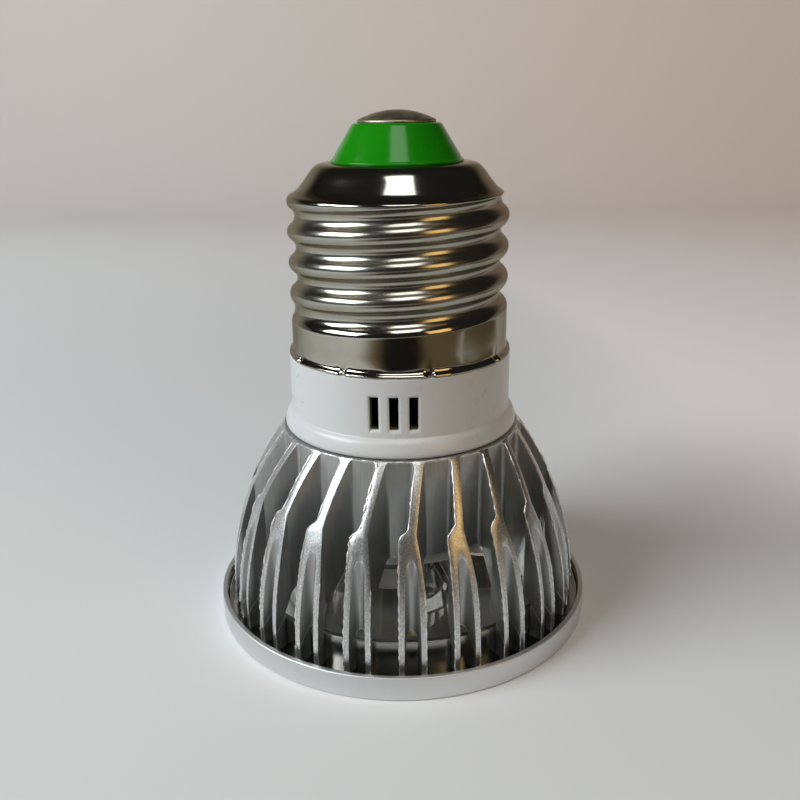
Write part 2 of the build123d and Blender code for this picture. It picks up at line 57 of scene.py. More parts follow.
# %% Camera
pitch, roll, yaw = math.radians(19.014), math.radians(-0.784), math.radians(-0.024)
photo_width, focal_pixels, sensor_width = 800, 875.2, 36
ahead = Vector((math.sin(yaw) * math.cos(pitch), math.cos(yaw) * math.cos(pitch), -math.sin(pitch)))
level_right = Vector((math.cos(yaw), -math.sin(yaw), 0))
level_up = level_right.cross(ahead)
view_right = math.cos(roll) * level_right + math.sin(roll) * level_up
view_up = -math.sin(roll) * level_right + math.cos(roll) * level_up
view = Matrix((view_right, view_up, -ahead)).transposed().to_4x4()
view.translation = Vector((0, -105, 63.37)) * mm

bpy.ops.object.select_all(action="DESELECT")
bpy.ops.object.camera_add()
camera = bpy.context.object
camera.name = "photo_camera"
camera.matrix_world = view
camera.data.sensor_width = sensor_width
camera.data.lens = sensor_width * focal_pixels / photo_width
camera.data.clip_start = 5 * mm
bpy.context.scene.camera = camera
print("camera looks along", [round(v, 3) for v in ahead], "with a lens of", round(camera.data.lens, 1), "mm")

# %% [markdown]
# Finishes are node trees. They could be wired by hand, one link at a time, but a formula is easier to read. A Wire
# is one output socket of a node, and adding or multiplying two wires adds a Math node that does the same.


# %% Wires
class Wire:
    """One output of a node, with arithmetic that adds Math nodes."""

    def __init__(self, finish, socket):
        self.finish = finish
        self.socket = socket

    def math(self, operation, *others):
        return self.finish.node("ShaderNodeMath", {"operation": operation}, self, *others)

    def __add__(self, other):
        return self.math("ADD", other)

    def __sub__(self, other):
        return self.math("SUBTRACT", other)

    def __mul__(self, other):
        return self.math("MULTIPLY", other)

    def __rsub__(self, other):
        return self.finish.node("ShaderNodeMath", {"operation": "SUBTRACT"}, other, self)

    __radd__ = __add__
    __rmul__ = __mul__

    def __abs__(self):
        return self.math("ABSOLUTE")

    def step(self, low, high):
        """0 below low, 1 above high and smooth between; low may be the larger one."""
        settings = {"interpolation_type": "SMOOTHSTEP"}
        if low > high:
            return self.finish.node("ShaderNodeMapRange", settings, self, high, low, 1.0, 0.0)
        return self.finish.node("ShaderNodeMapRange", settings, self, low, high, 0.0, 1.0)


print("wires add, subtract, multiply and step")

# %% [markdown]
# A Finish is one material. Its method node makes any node from a type, its settings and the values or wires of its
# inputs, and feed hands values to the Principled shader. The other methods are the few things that every finish of
# this bulb asks for: a point in millimetres, its radius and angle about the bulb's axis, noise and bump. A pattern
# that follows the axis needs no UV map, because the pieces are round and sit at the model's origin.


# %% Finishes
class Finish:
    """A material whose Principled shader is fed by formulas."""

    def __init__(self, name, **constants):
        self.material = bpy.data.materials.new(name)
        self.material.use_nodes = True
        self.tree = self.material.node_tree
        self.shader = self.tree.nodes["Principled BSDF"]
        self.feed(**constants)

    def node(self, kind, settings=None, *values, out=0, **named):
        made = self.tree.nodes.new(kind)
        for key, value in (settings or {}).items():
            setattr(made, key, value)
        inputs = list(enumerate(values)) + [(key.replace("_", " "), value) for key, value in named.items()]
        for key, value in inputs:
            if isinstance(value, Wire):
                self.tree.links.new(value.socket, made.inputs[key])
            elif value is not None:
                made.inputs[key].default_value = value
        return Wire(self, made.outputs[out])

    def feed(self, **named):
        for key, value in named.items():
            socket = self.shader.inputs[key.replace("_", " ")]
            if isinstance(value, Wire):
                self.tree.links.new(value.socket, socket)
            else:
                socket.default_value = value

    def mix(self, share, first, second):
        """A colour between two, by share."""
        blank = [None] * 5
        return self.node("ShaderNodeMix", {"data_type": "RGBA"}, share, *blank, first, second, out=2)

    def point(self):
        """The point of the piece in millimetres."""
        local = self.node("ShaderNodeTexCoord", out="Object")
        return self.node("ShaderNodeVectorMath", {"operation": "SCALE"}, local, Scale=1 / mm)

    def axes(self, point):
        """A point's x, y and z."""
        split = self.node("ShaderNodeSeparateXYZ", None, point).socket.node
        return [Wire(self, socket) for socket in split.outputs]

    def polar(self, point):
        """A point's distance from the bulb's axis, its height, and its angle from the front in radians."""
        x, y, z = self.axes(point)
        return (x * x + y * y).math("SQRT"), z, x.math("ARCTAN2", 0 - y)

    def vector(self, x, y, z):
        return self.node("ShaderNodeCombineXYZ", None, x, y, z)

    def rays(self, *kinds):
        """1 for light rays of these kinds, 0 for all others."""
        path = self.node("ShaderNodeLightPath").socket.node
        return sum(Wire(self, path.outputs[f"Is {kind} Ray"]) for kind in kinds)

    def noise(self, point, scale, detail=2.0, roughness=0.5):
        return self.node("ShaderNodeTexNoise", None, Vector=point, Scale=scale, Detail=detail, Roughness=roughness)

    def bump(self, height, strength, distance):
        return self.node("ShaderNodeBump", None, Height=height, Strength=strength, Distance=distance * mm)


print("finishes take their patterns in millimetres")

# %% [markdown]
# The floor and the wall behind it are one sheet with a wide cove, as in a small photo studio. A plane for each would
# show a hard line where they meet. The far edge of one plane is extruded up, and the fold is rounded by a bevel.

# %% Floor and wall
floor_half_width, floor_front, floor_back = 2.2, -1.6, 0.55
wall_rise = (0, 0.03, 0.6)
cove_size, cove_steps = 0.14, 16

bpy.ops.object.select_all(action="DESELECT")
bpy.ops.mesh.primitive_plane_add(size=2, location=(0, 0, 0))
sweep = bpy.context.object
sweep.name = "studio_sweep"
for corner in sweep.data.vertices:
    corner.co = (corner.co.x * floor_half_width, floor_back if corner.co.y > 0 else floor_front, 0)
bpy.ops.object.mode_set(mode="EDIT")
bpy.ops.mesh.select_all(action="DESELECT")
bpy.ops.object.mode_set(mode="OBJECT")


def select_fold():
    """Select the sheet's edges that lie on the floor's far side."""
    for edge in sweep.data.edges:
        ends = [sweep.data.vertices[k].co for k in edge.vertices]
        edge.select = all(abs(end.z) < mm and end.y > 0 for end in ends)


select_fold()
bpy.ops.object.mode_set(mode="EDIT")
bpy.ops.mesh.extrude_region_move(TRANSFORM_OT_translate={"value": wall_rise})
bpy.ops.object.mode_set(mode="OBJECT")
select_fold()
bpy.ops.object.mode_set(mode="EDIT")
bpy.ops.mesh.bevel(offset=cove_size, segments=cove_steps)
bpy.ops.object.mode_set(mode="OBJECT")
bpy.ops.object.shade_smooth()
print("sweep faces:", len(sweep.data.polygons))

# %% [markdown]
# The paper is pale, slightly cool near the bulb and warmer at the wall. Farther up it is painted dark, as shade that
# stands for a dark room, so that the shoulder of the cap has something dark to mirror. A brighter lamp on the wall
# would also light the bulb, so the floor behind and right of the bulb and the foot of the wall are lifted by a
# little
# glow instead: painted light, for the camera and for what metal and glass show of it.

# %% Studio paper
cool_floor, warm_wall, dim_top = (0.79, 0.805, 0.815, 1), (0.7, 0.635, 0.59, 1), (0.12, 0.095, 0.065, 1)
glow_left, glow_right, no_glow = (0.13, 0.14, 0.14, 1), (0.16, 0.115, 0.1, 1), (0, 0, 0, 1)
dim_from, dim_full = 140, 480

paper = Finish("studio_paper", Roughness=0.75, Specular_IOR_Level=0.2)
x, y, z = paper.axes(paper.point())
# Painted light: a glow on the floor behind and right of the bulb and on the lower wall.
glow_places = y.step(60, 330) + x.step(15, 80) * y.step(-10, 70)
glow_share = glow_places.math("MINIMUM", 1.0) * z.step(dim_full, dim_from)
glow_share = glow_share * paper.rays("Camera", "Glossy", "Transmission")
glow = paper.mix(x.step(-200, 250), glow_left, glow_right)
floor_color = paper.mix(y.step(150, 560), cool_floor, warm_wall)
paper.feed(
    # Painted shade: the paper turns dark towards the top.
    Base_Color=paper.mix(z.step(dim_from, dim_full), floor_color, dim_top),
    Emission_Color=paper.mix(glow_share, no_glow, glow),
    Emission_Strength=1.0,
)
sweep.data.materials.append(paper.material)
print("paper nodes:", len(paper.tree.nodes))

# %% [markdown]
# Bright metal is only as dark as what it mirrors. Three cards lie on the floor outside the picture as painted shade:
# they stand for the shaded floor and dim surroundings in front of and beside the bulb, which the metal mirrors. A
# black one gives the plain skirt of the cap its dark middle, and two brown ones tone its sides down. A black floor
# would do that too, but it would spoil the pale ground. The cards fade out at their edges and are clear to camera
# rays and shadow rays, so they aren't seen and cast no shadow.


# %% Cards that the metal mirrors
def card(name, left, right, front, back, height, color, second, fade=40):
    bpy.ops.object.select_all(action="DESELECT")
    bpy.ops.mesh.primitive_plane_add(size=2, location=(0, 0, 0))
    made = bpy.context.object
    made.name = name
    for corner in made.data.vertices:
        side, depth = (right if corner.co.x > 0 else left), (back if corner.co.y > 0 else front)
        corner.co = Vector((side, depth, height)) * mm
    # Painted shade for the metal to mirror: dark sheets, seen only in reflections and by bounced light.
    shade_sheet = Finish(name, Roughness=0.9, Specular_IOR_Level=0.1)
    point = shade_sheet.point()
    x, y, z = shade_sheet.axes(point)
    inner_share = x.step(left, left + fade) * x.step(right, right - fade) * y.step(back, back - fade / 2)
    shade_sheet.feed(
        Base_Color=shade_sheet.mix(shade_sheet.noise(point, 0.3), color, second),
        Alpha=inner_share * (1 - shade_sheet.rays("Camera", "Shadow")),
    )
    made.data.materials.append(shade_sheet.material)
    print(name, "lies", height, "mm above the floor")


black, near_black = (0.008, 0.007, 0.006, 1), (0.014, 0.012, 0.01, 1)
brown, tan = (0.2, 0.155, 0.08, 1), (0.25, 0.195, 0.11, 1)
card("dark_card", -68, 76, -300, -66, 0.8, black, near_black)
card("brown_card", -100, 330, -330, -60, 0.4, brown, tan)
card("side_card", 108, 330, -60, 85, 0.4, brown, tan)

# %% [markdown]
# Daylight falls from a window on the left, a second pane hangs over the bulb, and a small warm lamp stands on the
# right. Bright metal shows each lamp as a stripe, so their places and sizes were read from the stripes on the
# thread. Area lamps are used because a point lamp would show as a dot. The air around is nearly dark.


# %% Lamps
def lamp(name, place, aim, width, height, power, color):
    bpy.ops.object.select_all(action="DESELECT")
    bpy.ops.object.light_add(type="AREA", location=place)
    made = bpy.context.object
    made.name = name
    made.rotation_euler = (Vector(aim) - Vector(place)).to_track_quat("-Z", "Y").to_euler()
    made.data.shape = "RECTANGLE"
    made.data.size = width
    made.data.size_y = height
    made.data.energy = power
    made.data.color = color
    print(name, "gives", power, "watts")


lamp("window_left", (-0.505, -0.19, 0.385), (0, 0, 0.03), 0.46, 0.28, 3.65, (0.93, 0.98, 1.0))
lamp("pane_above", (0.03, -0.31, 0.66), (0, 0, 0.03), 0.28, 0.36, 1.05, (1.0, 0.99, 0.97))
lamp("warm_right", (0.43, -0.5, 0.31), (0, 0, 0.04), 0.3, 0.36, 0.66, (1.0, 0.62, 0.24))

world = bpy.data.worlds.new("studio_air")
bpy.context.scene.world = world
world.use_nodes = True
air = world.node_tree.nodes["Background"]
air.inputs["Color"].default_value = (0.5, 0.47, 0.43, 1)
air.inputs["Strength"].default_value = 0.04
bpy.context.scene.view_settings.view_transform = "Standard"

# %% [markdown]
# The cap is plated with nickel, a mirror with a faint brown tint. Plain metal with one roughness would look like
# chrome. Here the gloss wanders a little, fine lines run round the cap from the rolling, and the thread, which rubs
# in its holder, is duller than the skirt and the shoulder.

# %% Nickel
finishes = {}


def keep(slot, finish):
    """File a finish under the record's slot."""
    finishes[slot] = finish.material
    print(slot, "nodes:", len(finish.tree.nodes))


nickel = Finish("nickel_plating", Metallic=1.0, Specular_Tint=(0.5, 0.46, 0.38, 1))
point = nickel.point()
radius, height, angle = nickel.polar(point)
rolled_lines = nickel.noise(nickel.vector(angle * 1.5, height * 9, radius * 9), 1.0, 3.0)
clouds = nickel.noise(point, 0.35, 3.0)
thread_share = height.step(39.0, 40.5) * height.step(53.0, 51.8)
nickel.feed(
    Base_Color=nickel.mix(clouds.step(0.3, 0.75), (0.41, 0.395, 0.34, 1), (0.47, 0.455, 0.4, 1)),
    Roughness=0.07 + rolled_lines * 0.07 + thread_share * 0.11,
    Normal=nickel.bump(rolled_lines, 0.05, 0.01),
)
keep("shell_nickel", nickel)

# %% [markdown]
# The contact carries the same plating, but it is rubbed dull and brown by handling. Blotches of two sizes do that:
# wide ones for the colour and the gloss, and fine ones that roughen the surface.

# %% Contact plating
rubbed = Finish("rubbed_contact", Metallic=1.0)
point = rubbed.point()
blotches = rubbed.noise(point, 0.8, 4.0)
grains = rubbed.noise(point, 9.0, 2.0)
rubbed.feed(
    Base_Color=rubbed.mix(blotches.step(0.35, 0.7), (0.37, 0.32, 0.22, 1), (0.52, 0.47, 0.37, 1)),
    Roughness=0.34 + blotches * 0.16,
    Normal=rubbed.bump(grains, 0.12, 0.02),
)
keep("contact_metal", rubbed)

# %% [markdown]
# The insulator is moulded in a deep green and keeps the gloss of its mould. A glossy plastic needs no coat: the
# shader's own specular layer gives the pale streak of the lamp, and slow noise keeps that streak from being ruled.

# %% Green insulator
green = Finish("green_moulding", Specular_IOR_Level=0.33)
point = green.point()
flow = green.noise(point, 0.6, 3.0)
green.feed(
    Base_Color=green.mix(flow, (0.008, 0.21, 0.003, 1), (0.012, 0.26, 0.005, 1)),
    Roughness=0.12 + flow * 0.06,
    Normal=green.bump(green.noise(point, 1.2, 1.0), 0.05, 0.03),
)
keep("insulator_green", green)

# %% [markdown]
# The collar is moulded in white with a satin gloss, inside too. Behind its vent slots that inside lies in shade, so
# the inner wall is painted a dark olive as shade, by radius, which gives it to every slot at once. Behind its vent
# slots the photograph shows a dark olive, perhaps from the parts of the driver inside. Paint by radius gives that to
# every slot at once.

# %% White collar
lit_r, unlit_r = 13.35, 13.1

white = Finish("white_moulding", Specular_IOR_Level=0.5)
point = white.point()
radius, height, angle = white.polar(point)
flow = white.noise(point, 0.4, 3.0)
wall_white = white.mix(flow, (0.64, 0.655, 0.665, 1), (0.67, 0.68, 0.685, 1))
white.feed(
    # Painted shade: the inside of the collar, behind the slots, is coloured dark olive.
    Base_Color=white.mix(radius.step(lit_r, unlit_r), wall_white, (0.14, 0.13, 0.045, 1)),
    Roughness=0.24 + flow * 0.1,
    Normal=white.bump(flow, 1.0, 0.001),
)
keep("collar_white", white)

# %% [markdown]
# The heat sink is extruded, turned to a bell outside and bored by a cone inside. Extruded faces are grey with lines
# along the axis, while turned ones are bright and torn by the tool. Two materials would need their faces sorted by
# hand. The bell and the bore are known curves, so the distance from them tells which face is which. Burrs carry an
# attribute of their own, and the extruded faces are darker towards the foot: painted shade where the fins meet the
# ring, together with dirt.

# %% Where the sink was turned
bell_arc, bell_inset, bell_foot = 35.85, 13.55, 2.95
bore_foot_r, bore_foot, bore_slope = 20.55, 5.8, 0.8067
sink_top = 24.93

sink = Finish("extruded_aluminium", Metallic=1.0)
point = sink.point()
x, y, z = sink.axes(point)
radius, height, angle = sink.polar(point)
rise = height - bell_foot
bell_r = (bell_arc**2 - rise * rise).math("SQRT") - bell_inset
bore_r = bore_foot_r - (height - bore_foot) * bore_slope
on_bell = abs(radius - bell_r).step(0.17, 0.11) * height.step(sink_top + 0.05, sink_top - 0.05)
on_bore = abs(radius - bore_r).step(0.12, 0.06) * height.step(13.4, 13.3)
turned = (on_bell + on_bore).math("MINIMUM", 1.0)
burr_share = sink.node("ShaderNodeAttribute", {"attribute_name": "burr"}, out="Fac")
print("bell is", bell_arc - bell_inset, "mm in radius at its foot")

# %% [markdown]
# With those shares known, the colour, the gloss and the bump are each mixed from an extruded and a turned part. The
# extruded part is noise that is stretched along the axis. The turned part has fine rings round it and torn grains.

# %% Extruded aluminium
draw_lines = sink.noise(sink.vector(x * 5, y * 5, z * 0.25), 1.0, 3.0)
clouds = sink.noise(point, 0.5, 3.0)
tool_lines = sink.noise(sink.vector(angle * 2, height * 9, radius * 2), 1.0, 2.0)
torn = sink.noise(point, 5.5, 3.0, 0.6)
streaks = (draw_lines * 0.6 + clouds * 0.4).step(0.3, 0.7)
drawn_color = sink.mix(streaks, (0.42, 0.435, 0.425, 1), (0.53, 0.54, 0.535, 1))
# Painted shade, with some dirt: the extruded faces darken towards the foot of the fins.
drawn_color = sink.mix(height.step(7.0, 2.0) * 0.75, drawn_color, (0.1, 0.115, 0.115, 1))
turned_color = sink.mix(torn.step(0.3, 0.7), (0.5, 0.51, 0.51, 1), (0.84, 0.85, 0.85, 1))
face_color = sink.mix(turned, drawn_color, turned_color)
relief = draw_lines * (1 - turned) * 0.2 + (tool_lines * 0.4 + torn * 0.9) * turned
sink.feed(
    Base_Color=sink.mix(burr_share, face_color, (0.97, 0.98, 0.98, 1)),
    Roughness=(0.36 + draw_lines * 0.16) * (1 - turned) + (0.24 + torn * 0.18) * turned,
    Normal=sink.bump(relief, 1.0, 0.03),
)
keep("sink_aluminium", sink)

# %% [markdown]
# The front ring is turned all over. Its outside is bright and satin, and its inside is smoother, so that it mirrors
# the feet of the fins; the inside is also painted darker, as shade under and between the fins. Rings of fine noise
# stand for the tool's marks.

# %% Turned ring
inner_wall_r, outer_wall_r = 23.3, 23.5

ring_metal = Finish("turned_ring", Metallic=1.0)
radius, height, angle = ring_metal.polar(ring_metal.point())
tool_lines = ring_metal.noise(ring_metal.vector(angle * 3, height * 16, radius * 16), 1.0, 2.0)
outside = radius.step(inner_wall_r, outer_wall_r)
ring_metal.feed(
    # Painted shade: the inside of the ring, under the fins, is coloured darker than the outside.
    Base_Color=ring_metal.mix(outside, (0.34, 0.34, 0.32, 1), (0.72, 0.73, 0.74, 1)),
    Roughness=0.13 + tool_lines * 0.12 + outside * 0.3,
    Normal=ring_metal.bump(tool_lines, 0.3, 0.02),
)
keep("ring_aluminium", ring_metal)

# %% [markdown]
# The lens is clear moulded plastic that shows between the fins as dark glass with bright edges. The model's solid
# has its true form, so it stays, and only the transmission, the index and a nearly perfect gloss are set.

# %% Lens
clear = Finish("clear_optic", Base_Color=(0.93, 0.92, 0.88, 1), Transmission_Weight=0.94, IOR=1.58)
clear.feed(Roughness=0.005 + clear.noise(clear.point(), 0.8) * 0.015)
keep("lens_clear", clear)

# %% [markdown]
# The pieces inside show only through the vents and the windows between the fins. Each still gets the finish that
# such parts have: two close colours, a roughness and a metal share, mottled by one noise. A table of them is
# shorter and easier to check than fourteen cells.

# %% Inner parts
inner_finishes = {
    "pad_grey": ((0.3, 0.3, 0.32, 1), (0.36, 0.36, 0.38, 1), 0.6, 0.0),
    "board_white": ((0.74, 0.74, 0.71, 1), (0.8, 0.8, 0.77, 1), 0.35, 0.0),
    "led_ceramic": ((0.74, 0.72, 0.64, 1), (0.8, 0.78, 0.7, 1), 0.45, 0.0),
    "led_dome": ((0.8, 0.58, 0.06, 1), (0.86, 0.66, 0.1, 1), 0.12, 0.0),
    "screw_steel": ((0.5, 0.5, 0.5, 1), (0.6, 0.6, 0.6, 1), 0.25, 1.0),
    "board_green": ((0.012, 0.1, 0.022, 1), (0.02, 0.14, 0.03, 1), 0.3, 0.0),
    "can_sleeve": ((0.012, 0.012, 0.015, 1), (0.02, 0.02, 0.024, 1), 0.25, 0.0),
    "ferrite": ((0.016, 0.016, 0.018, 1), (0.03, 0.03, 0.032, 1), 0.55, 0.0),
    "chip_black": ((0.008, 0.008, 0.008, 1), (0.014, 0.014, 0.014, 1), 0.5, 0.0),
    "bobbin_black": ((0.01, 0.01, 0.01, 1), (0.016, 0.016, 0.016, 1), 0.4, 0.0),
    "coil_tape": ((0.62, 0.4, 0.02, 1), (0.7, 0.46, 0.03, 1), 0.25, 0.0),
    "resistor_green": ((0.08, 0.15, 0.1, 1), (0.11, 0.19, 0.13, 1), 0.3, 0.0),
    "wire_red": ((0.4, 0.01, 0.008, 1), (0.48, 0.014, 0.01, 1), 0.3, 0.0),
    "wire_black": ((0.006, 0.006, 0.006, 1), (0.012, 0.012, 0.012, 1), 0.3, 0.0),
}
for slot, (color, second, roughness, metallic) in inner_finishes.items():
    inner = Finish(slot, Metallic=metallic)
    mottle = inner.noise(inner.point(), 1.0, 3.0)
    inner.feed(
        Base_Color=inner.mix(mottle, color, second),
        Roughness=roughness + mottle * 0.12,
        Normal=inner.bump(mottle, 0.08, 0.03),
    )
    keep(slot, inner)

# %% [markdown]
# The record says which slot each node of the model takes its finish from, so one loop dresses all solids. Pieces
# that stand for a node later take the same finish.

# %% Dress the solids
for row in frame["record"]["subparts"]:
    dressed = nodes[row["node"]].data.materials
    dressed.clear()
    dressed.append(finishes[row["material_slot"]])

# %% [markdown]
# Operators act on whatever is selected, so each piece is selected alone before it is changed. A new mesh is then
# closed up: points that lie together are merged, loose bits go and all faces turn outwards. At the end a piece
# stands for its node: it rides on the bulb's one body and takes the node's slot.


# %% Habits for every piece
def select_only(piece):
    bpy.ops.object.select_all(action="DESELECT")
    piece.select_set(True)
    bpy.context.view_layer.objects.active = piece


def apply_modifiers(piece):
    select_only(piece)
    for name in [modifier.name for modifier in piece.modifiers]:
        bpy.ops.object.modifier_apply(modifier=name)


def close_up(piece):
    select_only(piece)
    bpy.ops.object.mode_set(mode="EDIT")
    bpy.ops.mesh.select_all(action="SELECT")
    bpy.ops.mesh.remove_doubles(threshold=0.002 * mm)
    bpy.ops.mesh.delete_loose()
    bpy.ops.mesh.select_all(action="SELECT")
    bpy.ops.mesh.normals_make_consistent(inside=False)
    bpy.ops.object.mode_set(mode="OBJECT")


def stand_for(piece, node, slot):
    piece.data.materials.clear()
    piece.data.materials.append(finishes[slot])
    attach(piece, "root")
    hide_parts(node)
    print(piece.name, "faces:", len(piece.data.polygons))


# %% [markdown]
# Most pieces of the bulb are turned or moulded about one axis. Each starts as a filled polygon with one point per
# corner of its section. A Bevel modifier rounds the corners, each by its own amount, and a spin turns the section
# into a body. Real edges are never quite sharp, and it is the small rounding that catches the light. A Screw
# modifier would turn the section as well, but the spin leaves no modifier to apply.


# %% Round bodies from a section
def turned_body(name, section, steps=180):
    """Spin a closed section of (radius, height, corner rounding) about the bulb's axis."""
    bpy.ops.object.select_all(action="DESELECT")
    bpy.ops.mesh.primitive_circle_add(vertices=len(section), radius=mm, fill_type="NGON")
    piece = bpy.context.object
    piece.name = name
    for vertex, (radius, height, _) in zip(piece.data.vertices, section):
        vertex.co = (radius * mm, 0, height * mm)
    # A weight of 1 is a full millimetre, so the weights are the roundings.
    weight = piece.data.attributes.new("bevel_weight_vert", "FLOAT", "POINT")
    weight.data.foreach_set("value", [rounding for _, _, rounding in section])
    bevel = piece.modifiers.new("corners", "BEVEL")
    bevel.affect = "VERTICES"
    bevel.limit_method = "WEIGHT"
    bevel.width = mm
    bevel.segments = 5
    apply_modifiers(piece)
    bpy.ops.object.mode_set(mode="EDIT")
    bpy.ops.mesh.select_all(action="SELECT")
    bpy.ops.mesh.delete(type="ONLY_FACE")
    bpy.ops.mesh.select_all(action="SELECT")
    bpy.ops.mesh.spin(steps=steps, angle=2 * math.pi, center=(0, 0, 0), axis=(0, 0, 1))
    bpy.ops.object.mode_set(mode="OBJECT")
    close_up(piece)
    bpy.ops.object.shade_smooth_by_angle(angle=math.radians(40))
    return piece


print("sections are spun about the bulb's axis")

# %% [markdown]
# The centre contact is the domed head of a nail that is pressed through the insulator. The dome is a shallow
# parabola with a soft edge. A scaled sphere would be too steep at its rim.

# %% Contact
dome_r, dome_edge, dome_rise, dome_steps = 4.5, 61.12, 1.08, 9
dome_shares = [k / dome_steps for k in range(dome_steps)]
contact_section = [(dome_r * share, dome_edge + dome_rise * (1 - share**2), 0) for share in dome_shares]
contact_section += [(4.56, 61.1, 0.16), (4.56, 60.81, 0.1), (1.4, 60.81, 0), (1.4, 54.2, 0.1), (0, 54.2, 0)]
stand_for(turned_body("contact_nail", contact_section), "contact_pin", "contact_metal")

# %% [markdown]
# The insulator is a moulded cone between the contact and the shell, with a small brim where the mould opened and a
# flange below that the shell grips. Its section lists the corners from the bore outwards and back over the cone.

# %% Insulator
insulator_section = [
    (1.45, 54.4, 0.1),
    (9.0, 54.4, 0.2),
    (9.0, 55.5, 0.2),
    (7.5, 55.5, 0),
    (7.5, 56.5, 0),
    (7.76, 56.5, 0.08),
    (7.76, 56.72, 0.08),
    (7.55, 56.86, 0.1),
    (5.11, 60.8, 0.3),
    (1.45, 60.8, 0.05),
]
stand_for(turned_body("insulator_cone", insulator_section), "insulator", "insulator_green")

# %% [markdown]
# The shell is thin sheet, rolled between two threaded wheels, so its wave is smooth on both sides: arcs of one
# radius that swing in and out. A Screw modifier could make the thread, but not its ends. A formula for the sheet's
# radius can let the groove fade into the skirt below, and the ridge into the shoulder above.

# %% Wave of the thread
thread_pitch, groove_depth, crest_r = 25.4 / 7, 0.95, 13.12
half_pitch = thread_pitch / 2
wave_r = (half_pitch**2 + groove_depth**2) / (4 * groove_depth)
first_crest, groove_starts, groove_full, blend_width = 36.01, 38.9, 40.5, 0.5


def smooth(low, high, value):
    """0 below low, 1 above high and smooth between."""
    share = min(1.0, max(0.0, (value - low) / (high - low)))
    return share * share * (3 - 2 * share)


def wave(distance):
    """How far the sheet lies below its crest, at a distance along the axis from that crest."""
    if distance < half_pitch / 2:
        return wave_r - math.sqrt(wave_r**2 - distance**2)
    return groove_depth - wave_r + math.sqrt(wave_r**2 - (half_pitch - distance) ** 2)


def rolled_radius(envelope, height, turn):
    """Radius of the sheet's outside: the thread's wave, cut off where the shoulder's envelope is smaller."""
    crest = first_crest + thread_pitch * turn / (2 * math.pi)
    crest += thread_pitch * math.floor((height - crest) / thread_pitch)
    past = height - crest
    groove_share = smooth(groove_starts, groove_full, crest + half_pitch)
    rolled = crest_r - wave(min(past, thread_pitch - past)) * groove_share
    blend = max(0.0, blend_width - abs(rolled - envelope)) / blend_width
    return min(rolled, envelope) - blend_width / 4 * blend**2


print("thread pitch", round(thread_pitch, 3), "mm, arcs of", round(wave_r, 3), "mm")

# %% [markdown]
# Seen in section, the sheet starts with a flared lip, runs up the skirt and the thread, goes over the crown and
# comes down inside. The crown is a smooth curve through few control points, because a shoulder that is pressed from
# sheet has no corners. A row holds a radius, a height, and whether the thread's wave applies to it.

# %% Section of the sheet
lip = [(13.3, 34.2), (13.48, 34.2), (13.56, 34.24), (13.59, 34.31), (13.58, 34.4), (13.53, 34.49), (13.44, 34.57)]
lip += [(13.34, 34.64), (13.25, 34.72), (13.18, 34.83), (13.14, 35.0), (13.12, 35.3), (13.12, 36.4), (13.12, 37.6)]
crown = [(13.16, 51.5), (13.2, 52.85), (11.95, 53.3), (10.98, 54.45), (10.17, 55.6), (9.35, 56.38)]
crown += [(7.9, 56.52), (6.9, 56.56)]
inner_side = [(7.6, 56.45), (7.6, 56.2), (9.0, 55.5), (10.5, 54.2), (11.4, 52.6), (11.75, 51.5), (11.75, 39.6)]
inner_side += [(12.78, 38.9), (12.78, 35.6), (12.95, 35.0), (13.15, 34.6), (13.3, 34.2)]
thread_from, thread_row, thread_rows, crown_steps = 38.0, 0.115, 121, 10

rows = [(r, z, False) for r, z in lip]
rows += [(crest_r + 1, thread_from + thread_row * k, True) for k in range(thread_rows)]
for before, middle, after in zip(crown, crown[1:], crown[2:]):
    for t in (k / crown_steps for k in range(crown_steps)):
        pulls = ((1 - t) ** 2 / 2, 0.5 + t - t * t, t * t / 2)
        r, z = (pulls[0] * before[i] + pulls[1] * middle[i] + pulls[2] * after[i] for i in (0, 1))
        rows.append((r, z, True))
rows += [(r, z, False) for r, z in inner_side]
print("rows in the sheet's section:", len(rows))

# %% [markdown]
# The rim is staked to the collar: a punch has dented it in eight places, and the sheet between the dents is a
# little wavy. Dents could be cut with a Boolean, but pressed sheet bulges beside a dent, which a formula gives.

# %% Punch marks
stakes = [math.radians(a - 90) for a in (-60.5, -28.5, 14.2, 56.6, 101, 146, 191, 236)]
punch_depth, punch_width, bulge, bulge_off, bulge_width = 0.34, 1.0, 0.07, 3.0, 1.5
ripples = ((0.04, 9, 0), (0.02, 17, 1), (0.01, 31, 0))


def dent(turn, height):
    """How far the rim is moved outwards at a turn about the axis."""
    reach = 1 - smooth(34.5, 35.2, height)
    if reach == 0:
        return 0.0
    off = math.degrees(min(abs((turn - stake + math.pi) % (2 * math.pi) - math.pi) for stake in stakes))
    press = bulge * math.exp(-(((off - bulge_off) / bulge_width) ** 2))
    press -= punch_depth * math.exp(-((off / punch_width) ** 2))
    return reach * (press + sum(size * math.sin(turn * waves + shift) for size, waves, shift in ripples))


print("punch marks:", len(stakes))

# %% [markdown]
# A grid is now wrapped round the axis: one way runs round the bulb, the other follows the section. Merging its
# seams leaves one closed sheet.

# %% Rolled shell
around = 360

bpy.ops.object.select_all(action="DESELECT")
bpy.ops.mesh.primitive_grid_add(x_subdivisions=around, y_subdivisions=len(rows) - 1, size=2)
shell = bpy.context.object
shell.name = "rolled_shell"
for vertex in shell.data.vertices:
    turn = math.pi * (vertex.co.x + 1)
    radius, height, threaded = rows[round((vertex.co.y + 1) / 2 * (len(rows) - 1))]
    if threaded:
        radius = rolled_radius(radius, height, turn)
    radius += dent(turn, height)
    vertex.co = (radius * mm * math.cos(turn), radius * mm * math.sin(turn), height * mm)
close_up(shell)
bpy.ops.object.shade_smooth_by_angle(angle=math.radians(50))
stand_for(shell, "screw_shell", "shell_nickel")

